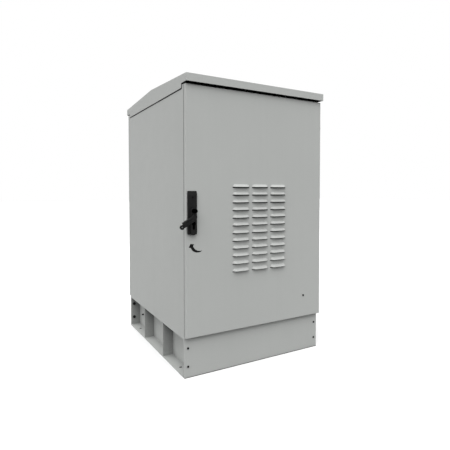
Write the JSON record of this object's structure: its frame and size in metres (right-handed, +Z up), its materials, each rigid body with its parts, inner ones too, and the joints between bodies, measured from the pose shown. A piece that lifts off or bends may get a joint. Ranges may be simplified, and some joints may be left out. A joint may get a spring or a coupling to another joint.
{
  "type": "roadside utility cabinet",
  "caption": "Free-standing sheet-steel street cabinet on a bolted plinth, with a louvred door, lever lock and gabled rain hood.",
  "frame": {"origin": "centre of the plinth's footprint on the ground, which is the centre of the four floor anchors", "axes": "+X to the right seen from the door, +Y to the back, +Z up"},
  "size_m": [0.7474, 0.854, 1.238],
  "materials": {
    "painted_grey": "fine-textured grey powder coat",
    "zinc_steel": "bright zinc plate",
    "black_steel": "black zinc",
    "black_rubber": "matt",
    "black_plastic": "moulded, matt",
    "filter_fleece": "fibre fleece",
    "black_cast": "black powder-coated casting",
    "black_lock": "black burnished"
  },
  "bodies": {
    "cabinet": {"plinth_side_left": "painted_grey", "plinth_side_right": "painted_grey", "plinth_end_plates": "painted_grey", "plinth_stiffeners": "painted_grey", "plinth_front_plate": "painted_grey", "plinth_rear_plate": "painted_grey", "plinth_screws": "black_steel", "plinth_nuts": "black_steel", "earth_stud": "black_steel", "floor_pan": "painted_grey", "gland_plate": "zinc_steel", "gland_screws": "zinc_steel", "cable_grommets": "black_rubber", "body_bolts": "zinc_steel", "body_nuts": "zinc_steel", "side_panel_left": "painted_grey", "side_panel_right": "painted_grey", "top_plate": "painted_grey", "roof_hood": "painted_grey", "roof_brackets": "zinc_steel", "roof_bolts": "zinc_steel", "roof_nuts": "zinc_steel", "roof_seals": "black_rubber", "vent_screens": "black_plastic", "rear_panel": "painted_grey", "rear_panel_screws": "zinc_steel", "rack_rail_left": "zinc_steel", "rack_rail_right": "zinc_steel", "rail_beams": "zinc_steel", "rail_screws": "zinc_steel", "lock_keepers": "zinc_steel", "hinge_frame_leaves": "painted_grey", "hinge_pins": "zinc_steel", "hinge_washers": "black_plastic"},
    "door": {"hinge_door_leaves": "painted_grey", "door_panel": "painted_grey", "door_gasket": "black_rubber", "door_stiffener_left": "zinc_steel", "door_stiffener_right": "zinc_steel", "door_screw": "black_steel", "filter_tray": "zinc_steel", "filter_mat": "filter_fleece", "filter_studs": "zinc_steel", "handle_housing": "black_cast", "handle_screw": "black_steel", "lock_cylinder": "black_lock", "spindle_bush": "zinc_steel", "bar_guides": "black_plastic"},
    "lever": {"handle_lever": "black_cast", "lever_spindle": "zinc_steel", "lock_crank": "zinc_steel"},
    "lock_bar": {"lock_bar": "zinc_steel", "bar_tongues": "zinc_steel"},
    "release_button": {"release_button": "black_cast"},
    "lock_plug": {"lock_plug": "black_lock"}
  },
  "joints": [
    {"name": "door_swing", "type": "hinge", "parent": "cabinet", "child": "door", "pos_m": [0.3565, -0.3795, 0.672], "axis": [0, 0, 1], "range_deg": [0, 130]},
    {"name": "lever_turn", "type": "hinge", "parent": "door", "child": "lever", "pos_m": [-0.324, -0.42, 0.6545], "axis": [0, 1, 0], "range_deg": [-60, 30]},
    {"name": "bar_slide", "type": "slide", "parent": "door", "child": "lock_bar", "axis": [0, 0, 1], "range_m": [-0.0067, 0.0133]},
    {"name": "button_press", "type": "slide", "parent": "door", "child": "release_button", "axis": [0, 1, 0], "range_m": [0, 0.0035], "stiffness_N_per_m": 400},
    {"name": "plug_turn", "type": "hinge", "parent": "door", "child": "lock_plug", "pos_m": [-0.324, -0.41, 0.6284], "axis": [0, 1, 0], "range_deg": [0, 90]}
  ],
  "couplings": [
    {"joint": "bar_slide", "follows": "lever_turn", "m_per_rad": -0.012604}
  ]
}
